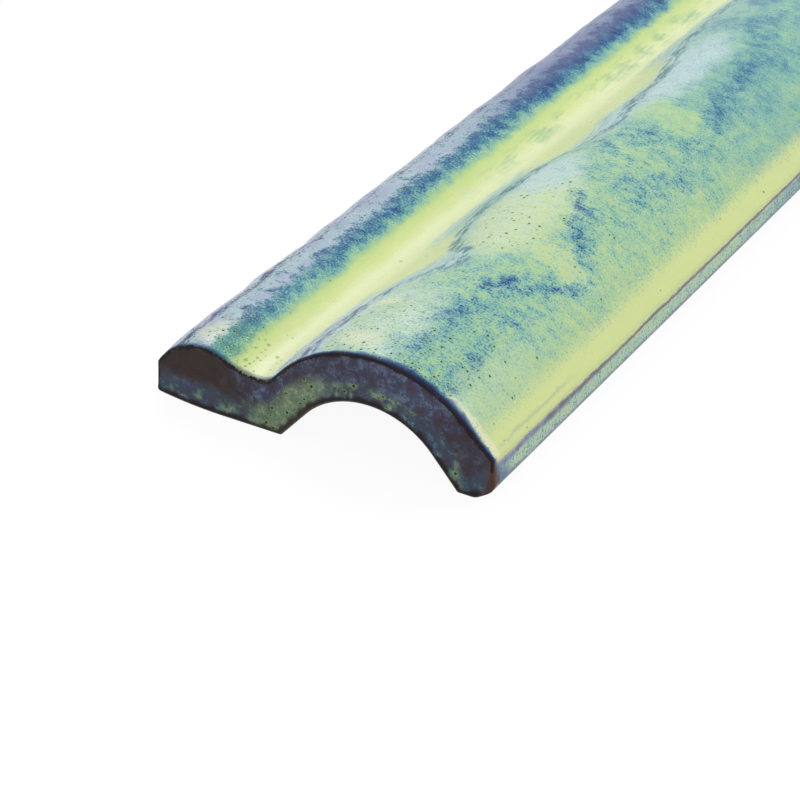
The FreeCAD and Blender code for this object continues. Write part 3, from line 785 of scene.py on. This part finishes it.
dip_pool = dip_pool * (1 - rise(round_place - pool_lift * 11 + ragged, 26.5, 32))
colour = cover(colour, between(CREAM, YELLOW_GREEN, 0.55), dip_pool * 0.88)
run_out = strip_place + broad_off * 10 + strands_off * 14
near_flank = stripe(run_out, -12, 24, 4) * stripe(round_place, 29.5, 38.5, 1.2)
next_flank = stripe(strip_place, 56, 81, 4) * stripe(round_place, 32, 41, 2)
dark_strands = rise(strands + fine_off * 0.3, 0.42, 0.64) * most([near_flank * 0.94, next_flank * 0.6])
strand_colour = cover(STRAND_BLUE, STRAND_NAVY, rise(fine, 0.3, 0.7) * near_flank)
colour = cover(colour, strand_colour, dark_strands)
plait = cloud(spread(tree, round_place * 0.9, strip_place * 0.3, 5.0), 0.8, 4.0, 0.7)
in_dip = bulge(strip_place, 38, 9)
near_line = 1 - rise(strip_place, 22, 32)
braid = rise(past_line, -2.2 - in_dip - near_line, -0.6) * (1 - rise(past_line, 0.8, 2.2 + in_dip * 2))
braid = braid * rise(plait, 0.42 + in_dip * 0.02, 0.58)
braid_colour = cover(BRAID_GREEN, BRAID_BLUE, rise(fine, 0.35, 0.75) * (1 - in_dip * 0.7))
braid_colour = cover(braid_colour, BRAID_NAVY, near_line * rise(middle, 0.2, 0.6))
colour = cover(colour, braid_colour, braid * (0.94 - in_dip * 0.12 + broad_off * 0.7))

# The cove's pool: fresh green at the bead's foot, cream in the middle and tan where it meets the flank.
pool_place = round_place + stray_across * 1.6 - specks * 0.9
cove_pool = ramp((pool_place - 20) / 12 + strands_off * 0.22 + broad_off * 0.08, [
    (0.0, LEAF), (0.16, POOL_GREEN), (0.36, POOL_YELLOW), (0.55, CREAM), (0.72, TAN), (0.8, CREAM)])
smudge = stripe(pool_place, 23.5, 27.5, 1.6) * rise(strip_place, 60, 100)
smudge = smudge * rise(strands + broad_off * 0.5, 0.36, 0.8)
cove_pool = cover(cove_pool, SMUDGE_GREEN, smudge * 0.75)
colour = cover(colour, cove_pool, 1 - rise(round_place + strands_off * 1.5, *POOL_TO_FLANK))

# The bead: lavender and ice on its crest, and a dark blue fall on its inner side.
bead_edge = round_place + stray_along * 3.0
fall_tone = 0.72 + far * 0.08 + middle_off * 0.34 + fine_off * (0.52 - far * 0.2)
fall_tone = fall_tone + broad_off * 0.24 - rise(bead_edge, 18.8, 22.0) * 0.36
fall = cover(ramp(fall_tone, BREAKS), VIOLET, (1 - rise(bead_edge, 16.6, 19.0)) * (0.04 + far * 0.5))
near_fall = patch(u, strip_place, (20.5, 3), (3.6, 9), 0.5) * rise(fine + middle_off * 0.4, 0.3, 0.62)
fall = cover(fall, FALL_GREEN, near_fall * 0.7)
colour = cover(colour, fall, 1 - rise(bead_edge + fine_off * 1.4, *FALL_TO_POOL))
crest_blue = rise(fine * 0.6 + middle * 0.4, 0.4, 0.85) * 0.7 + far * 0.1
crest_mix = rise(broad + middle_off * 0.7 + rise(strip_place, 4, 20) * 0.1, 0.2, 0.72)
crest = cover(LAVENDER, cover(CREST_ICE, TEAL, crest_blue), crest_mix)
crest = cover(crest, cover(VIOLET, CREST_BLUE, middle), far * (0.5 + broad * 0.45))
crest_fleck = rise(fine * 0.4 + streaks * 0.5 + middle_off * 0.7, 0.52, 0.8)
crest = cover(crest, ramp(fall_tone - 0.1, BREAKS), crest_fleck * 0.75)
# A cream patch on the bead's crest near the end: paler glaze with a painted highlight in its colour.
near_crest_glint = patch(u, strip_place, (16, 5.5), (3.0, 3.6), 0.5)
crest = cover(crest, CREAM_GLAZE_AND_GLINT, near_crest_glint * 0.6)
crest_edge = bead_edge + middle_off * 2.6 + broad_off * 1.6 + fine_off * 0.9 + far * 1.9
colour = cover(colour, crest, 1 - rise(crest_edge, *CREST_TO_FALL))
outer = stripe(round_place + middle_off * 2.0, 10.9, 12.8, 0.5)
outer = outer * rise(strands + fine_off * 0.4 + (1 - rise(strip_place, 28, 50)) * 0.08, 0.5, 0.58)
colour = cover(colour, BEAD_LINE_BLUE, outer * (1 - far * 0.25))

# The foot's face below the arris, and both low edges where the glaze was wiped thin.
foot_face = rise(round_place + fine_off * 0.3, *BAND_TO_FACE)
face_tone = 0.2 + specks * 0.5 + strands_off * 0.5 + middle_off * 0.3 + far * 0.35
face_colour = cover(ramp(face_tone, BREAKS), PALE_ICE, (1 - specks) * 0.3 - far * 0.2)
colour = cover(colour, face_colour, foot_face)
arris_place = round_place + stray_along * 1.4 + fine_off * 0.4 + strands_off * 0.8
arris_reach = 1 + (1 - rise(strip_place, 18, 45)) * 0.7
arris_line = stripe((arris_place - ARRIS_PLACE) / arris_reach, -0.45, 0.4, 0.3)
arris_share = rise(middle + rise(strip_place, 5, 40) * 0.5, 0.4, 0.9)
arris_colour = cover(ARRIS_BLUE, ARRIS_MAUVE, arris_share)
arris_colour = cover(arris_colour, NAVY, rise(strands, 0.5, 0.65) * 0.6)
colour = cover(colour, arris_colour, arris_line * 0.9)
low_edge = rise(round_place + fine_off * 1.2 + strands_off * 1.2, 82.6, 83.7).work(
    "MAXIMUM", 1 - rise(round_place + fine_off, 0.4, 2.0))
colour = cover(colour, between(NAVY, TEAL, 0.2), low_edge * 0.9)
blue_corner = patch(round_place + middle_off * 1.5, strip_place, (84, 0), (4.0, 6.0), 0.35)
colour = cover(colour, cover(CORNER_BLUE, NAVY, specks * 0.8), blue_corner * 0.85)
# A cream ridge just inside the near end of the slope: a glaze ridge with a painted highlight in its
# colour.
ridge_glint = stripe(from_end + middle_off, 1.0, 2.6, 0.4) * stripe(round_place, 66, 79, 1.5)
ridge_glint = ridge_glint * rise(fine + streaks_off * 1.2, 0.18, 0.55) * (1 - rise(strip_place, 20, 30))
colour = cover(colour, RIDGE_GLINT_CREAM, ridge_glint * 0.75)

# At the cut ends the glaze drew back, through navy to the bare dark arris.
on_arch = rise(round_place, 31, 42)
halo_reach = 0.62 + (middle * 0.7 + fine * 0.5) * (0.15 + stripe(round_place, 52, 70, 6) * 0.85)
halo_far = (from_end + fine_off * 0.7 + streaks_off * 0.9) / halo_reach
halo_tone = 1.1 - halo_far * 0.24 + fine_off * 0.3
colour = cover(colour, ramp(halo_tone, BREAKS), (1 - rise(halo_far, 1.1, 1.9)) * (0.55 + on_arch * 0.4))
colour = cover(colour, HALO_NAVY, (1 - rise(halo_far, 0.5, 1.15)) * (0.4 + on_arch * 0.55))
brown_corner = patch(round_place + middle_off, strip_place + middle_off, (82.6, 0), (3.4, 2.0), 0.3)
colour = cover(colour, WARM_BROWN, brown_corner * 0.95)
near_end = 1 - rise(from_end, 6, 28)
cluster = rise(cloud(flat_place, 7.0, 2.0), 0.42, 0.6)
pit_area = most([near_end * (0.1 + cluster * 0.4), lobe_middle * cluster * 0.42,
                 stripe(round_place, 15, 26, 1.5) * (1 - rise(from_end, 6, 20)) * 0.85,
                 stripe(round_place, 45, 66, 2) * (1 - rise(from_end, 3, 8)) * 0.7,
                 (1 - rise(strip_place, 60, 90)) * cluster * 0.06])
in_cove = stripe(round_place, 22, 38, 1.5) * rise(strip_place, 3, 13)
pit_area = pit_area * (1 - in_cove * 0.97) * (1 - rise(u, 64, 69) * 0.93) * rise(from_end, 0.8, 1.8)
pits = use_group(tree, "pinholes", {
    "Vector": flat_place, "Spacing": 1.0, "Radius": 0.15, "Share": pit_area + 0.004})
colour = cover(colour, PIT_RING, out(pits, "Ring") * 0.65)
colour = cover(colour, PIT_BROWN, out(pits, "Pit") * (0.95 - stripe(round_place, 21, 38, 2) * 0.6))
rim = 1 - rise(from_end + fine_off * 0.5 + middle_off * 0.35, 0.1, 0.35)
colour = cover(colour, cover(RIM_BROWN, WARM_BROWN, most([rise(streaks, 0.55, 0.7), foot_face])), rim)

connect(colour, surface.inputs["Base Color"])
dry_end = (1 - rise(from_end, 0.3, 1.4)) * 0.42
gloss = 0.31 + middle_off * 0.1 + out(pits, "Pit") * 0.3 + dry_end
connect(gloss, surface.inputs["Roughness"])
surface.inputs["Specular IOR Level"].default_value = 0.17
surface.inputs["Coat Weight"].default_value = 0.05
surface.inputs["Coat Roughness"].default_value = 0.15
dimples = cloud(flat_place, 1.8, 2.0) * (0.02 + near_end * 0.07)
skin = cloud(flat_place, 3.0, 2.0) * 0.05 + dimples + fine * 0.014
skin = skin - out(pits, "Pit") * 0.12 + out(pits, "Ring") * 0.03 - trickled * 0.03 - braid * 0.06
raise_skin(tree, surface, skin, 0.8)

# The cut ends: wire-cut clay under a thin wash of glaze, slate where it barely caught, with olive and
# teal runs full of pinholes where it pooled low, and bare dark clay at the edges.
CLAY_DARK = paint(44, 34, 33)
CLAY_BROWN = paint(60, 46, 42)
WASH_PLUM = paint(74, 60, 68)
WASH_SLATE = paint(68, 72, 102)
WASH_BLUE = paint(106, 126, 148)
DEEP_TEAL = paint(58, 86, 100)
PALE_TEAL = paint(92, 124, 126)
DEEP_OLIVE = paint(100, 132, 114)
PALE_OLIVE = paint(174, 192, 122)
END_PIT_RING = paint(132, 158, 100)
END_PIT = paint(14, 15, 12)
EDGE_BROWN = paint(26, 19, 20)
end_glaze, tree, surface = new_material("end_glaze")
solid_place = object_place(tree)
apart = add_node(tree, "ShaderNodeSeparateXYZ", {0: solid_place})
to_glazed = kept_value(tree, "to_glazed")
to_bare = kept_value(tree, "to_bare")
sideways = out(apart, 0) + strip_width / 2
boil = use_group(tree, "boil", {"Vector": solid_place})
fine, middle, broad = (out(boil, label) for label in GRAINS)
fine_off, middle_off, broad_off = (grain - 0.5 for grain in (fine, middle, broad))
wobble = middle_off * 1.6 + broad_off * 2.0
clay = cover(CLAY_DARK, CLAY_BROWN, middle * 0.6 + fine * 0.4)
on_arch = rise(sideways + wobble * 2, 12, 26)
wash = on_arch * (0.46 + broad * 0.5) * (1 - rise(sideways, 49, 59) * 0.55)
wash = most([wash, (1 - rise(to_bare + wobble, 2.2, 5.5)) * 0.8])
mottle = cloud(solid_place, 2.2, 5.0, 0.72, 0.15)
wash_colour = cover(WASH_PLUM, WASH_SLATE, rise(mottle, 0.38, 0.5))
wash_colour = cover(wash_colour, WASH_BLUE, rise(mottle + fine_off * 0.12, 0.48, 0.66))
colour = cover(clay, wash_colour, wash)
teal_run = stripe(to_bare + wobble, 0.7, 3.4, 0.7) * (0.35 + rise(middle, 0.3, 0.7) * 0.5)
colour = cover(colour, cover(DEEP_TEAL, PALE_TEAL, rise(mottle, 0.5, 0.66)), teal_run)
heel_run = patch(sideways + wobble, to_bare, (25.5, 2.2), (7.0, 2.6), 0.5)
arch_run = stripe(to_bare + wobble * 0.8, 1.0, 3.2, 0.6) * stripe(sideways, 27, 50, 2.5)
toe_run = patch(sideways + wobble, to_bare, (56.0, 2.0), (2.0, 1.8), 0.6)
bead_run = stripe(to_bare + wobble * 0.7, 1.0, 3.2, 0.7) * stripe(sideways, 3, 24, 2.5)
spotty = rise(mottle + broad_off * 0.3, 0.4, 0.62)
olive = most([heel_run * (0.62 + spotty * 0.38), arch_run * spotty * 0.75, toe_run * spotty * 0.6,
              bead_run * spotty * 0.45])
olive_colour = cover(DEEP_OLIVE, PALE_OLIVE, fine * 0.4 + rise(mottle, 0.3, 0.7) * 0.6)
colour = cover(colour, olive_colour, olive * (0.6 + fine * 0.4))
pits = use_group(tree, "pinholes", {
    "Vector": spread(tree, sideways, out(apart, 2)), "Spacing": 1.25, "Radius": 0.19,
    "Share": olive * 0.85 + most([arch_run, toe_run]) * spotty * 0.4 + teal_run * 0.07 - 0.03})
burst = use_group(tree, "pinholes", {
    "Vector": spread(tree, sideways + 1.7, out(apart, 2) * 1.1), "Spacing": 3.3, "Radius": 0.36,
    "Share": bead_run * 0.5 + arch_run * 0.3 - 0.05})
ringed = most([out(pits, "Ring"), out(burst, "Ring")])
pitted = most([out(pits, "Pit"), out(burst, "Pit")])
colour = cover(colour, END_PIT_RING, ringed * 0.75)
colour = cover(colour, END_PIT, pitted)
edge = most([(1 - rise(to_glazed + fine_off * 0.3 + middle_off * 0.5, 0.0, 0.35)) * 0.9,
             (1 - rise(to_bare + middle_off * 0.6, 0.3, 1.3)) * 0.92])
colour = cover(colour, EDGE_BROWN, edge * (1 - rise(sideways, 60.5, 62.5) * 0.85))
bare_corner = rise(sideways + middle_off, 61.2, 63.0) * 0.75
colour = cover(colour, WARM_BROWN, bare_corner)
connect(colour, surface.inputs["Base Color"])
connect(0.55 - olive * 0.2 + edge * 0.15 + fine_off * 0.1, surface.inputs["Roughness"])
surface.inputs["Specular IOR Level"].default_value = 0.2
cut = middle * 0.05 + fine * 0.03 + olive * 0.1 - pitted * 0.22
raise_skin(tree, surface, cut, 0.9)

# The bare body that beds in mortar: dark fired clay with fine drag lines from the die along it.
BODY_DARK = paint(56, 44, 40)
BODY_PALE = paint(90, 72, 61)
BODY_SPECK = paint(36, 29, 28)
bare_body, tree, surface = new_material("bare_body")
solid_place = object_place(tree)
apart = add_node(tree, "ShaderNodeSeparateXYZ", {0: solid_place})
boil = use_group(tree, "boil", {"Vector": solid_place})
drag = cloud(spread(tree, out(apart, 0) * 1.6, out(apart, 1) * 0.03, out(apart, 2)), 0.9, 4.0, 0.65)
colour = cover(BODY_DARK, BODY_PALE, out(boil, "Broad") * 0.5 + drag * 0.5)
colour = cover(colour, BODY_SPECK, rise(out(boil, "Fine"), 0.7, 1.0) * 0.6)
connect(colour, surface.inputs["Base Color"])
connect(0.72 + (out(boil, "Fine") - 0.5) * 0.15, surface.inputs["Roughness"])
raise_skin(tree, surface, drag * 0.12 + out(boil, "Fine") * 0.03, 0.9)

pressing = strip.modifiers.new("hand_pressing", "NODES")
pressing.node_group = press_tree
for name, value in press_sizes.items():
    pressing[press_inputs[name]] = value
for name, material in zip(FINISHES, (run_glaze, end_glaze, bare_body)):
    pressing[press_inputs[name]] = material
bpy.context.view_layer.update()
seen = bpy.context.evaluated_depsgraph_get()
trim_mesh = bpy.data.meshes.new_from_object(strip.evaluated_get(seen), depsgraph=seen)
strip.modifiers.remove(pressing)
trim = bpy.data.objects.new("mudcap_trim_glazed", trim_mesh)
link(trim)
bpy.data.objects.remove(strip)
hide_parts("mudcap_trim")
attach(trim, "root")

# The floor: a plain pale sheet that the strip lies on, near white to the camera with a faint shadow.
FLOOR_REACH = 3
FLOOR_WHITE = 0.88
WHITE_RAYS = ("Is Camera Ray", "Is Glossy Ray", "Is Transmission Ray")
floor_mesh = bpy.data.meshes.new("floor")
floor_corners = [(x * FLOOR_REACH, y * FLOOR_REACH, 0) for x, y in ((-1, -1), (1, -1), (1, 1), (-1, 1))]
floor_mesh.from_pydata(floor_corners, [], [(0, 1, 2, 3)])
floor = bpy.data.objects.new("floor", floor_mesh)
link(floor)
paper = bpy.data.materials.new("pale_floor")
paper.use_nodes = True
tree = paper.node_tree
surface = tree.nodes["Principled BSDF"]
surface.inputs["Base Color"].default_value = (0.7, 0.7, 0.7, 1)
surface.inputs["Roughness"].default_value = 0.9
surface.inputs["Specular IOR Level"].default_value = 0.1
glow = add_node(tree, "ShaderNodeEmission", {"Color": (1, 1, 1, 1), "Strength": 1.06})
seen_by = add_node(tree, "ShaderNodeLightPath")
seen_white = most([out(seen_by, label) for label in WHITE_RAYS])
mixed = add_node(tree, "ShaderNodeMixShader", {0: seen_white * FLOOR_WHITE})
tree.links.new(surface.outputs[0], mixed.inputs[1])
tree.links.new(glow.outputs[0], mixed.inputs[2])
tree.links.new(mixed.outputs[0], tree.nodes["Material Output"].inputs["Surface"])
floor_mesh.materials.append(paper)

# The light: soft studio boxes, and a white surround that the camera and the glaze's gloss see.
SURROUND_LEVEL = 0.62
world = bpy.data.worlds.new("studio")
bpy.context.scene.world = world
world.use_nodes = True
tree = world.node_tree
back = tree.nodes["Background"]
back.inputs["Color"].default_value = (1, 1, 1, 1)
seen_by = add_node(tree, "ShaderNodeLightPath")
seen_white = most([out(seen_by, label) for label in WHITE_RAYS])
connect(SURROUND_LEVEL + seen_white * (1 - SURROUND_LEVEL), back.inputs["Strength"])


def soft_box(name, place, aim, size, power):
    """A rectangular lamp at a place, turned to an aim."""
    lamp = bpy.data.lights.new(name, "AREA")
    lamp.shape = "RECTANGLE"
    lamp.size, lamp.size_y = size
    lamp.energy = power
    box = bpy.data.objects.new(name, lamp)
    box.location = place
    box.rotation_euler = (Vector(aim) - Vector(place)).to_track_quat("-Z", "Y").to_euler()
    link(box)


soft_box("key_box", (-0.44, 0.46, 0.70), (0, -0.09, 0), (0.34, 0.34), 2.5)
soft_box("right_box", (0.5, 0.42, 0.62), (0.02, -0.09, 0), (0.34, 0.34), 2.1)
soft_box("front_box", (0.3, -0.8, 0.6), (0, -0.05, 0), (0.6, 0.4), 1.2)

# The camera stands off the strip's near end, a little to its foot's side, and looks down along it.
CAMERA_PLACE = (0.20508, -0.43476, 0.24886)
CAMERA_LOOK = (-0.42302, 0.74048, -0.52225)
CAMERA_UPRIGHT = (-0.27104, 0.44657, 0.85271)
camera_data = bpy.data.cameras.new("camera")
camera_data.lens = 129.04
camera_data.sensor_width = 36
camera_data.clip_start = 0.01
camera = bpy.data.objects.new("camera", camera_data)
look = Vector(CAMERA_LOOK)
upright = Vector(CAMERA_UPRIGHT)
right = look.cross(upright).normalized()
upright = right.cross(look).normalized()
facing = Matrix((right, upright, -look.normalized())).transposed()
camera.matrix_world = Matrix.Translation(CAMERA_PLACE) @ facing.to_4x4()
link(camera)
bpy.context.scene.camera = camera
bpy.context.scene.view_settings.view_transform = "Standard"
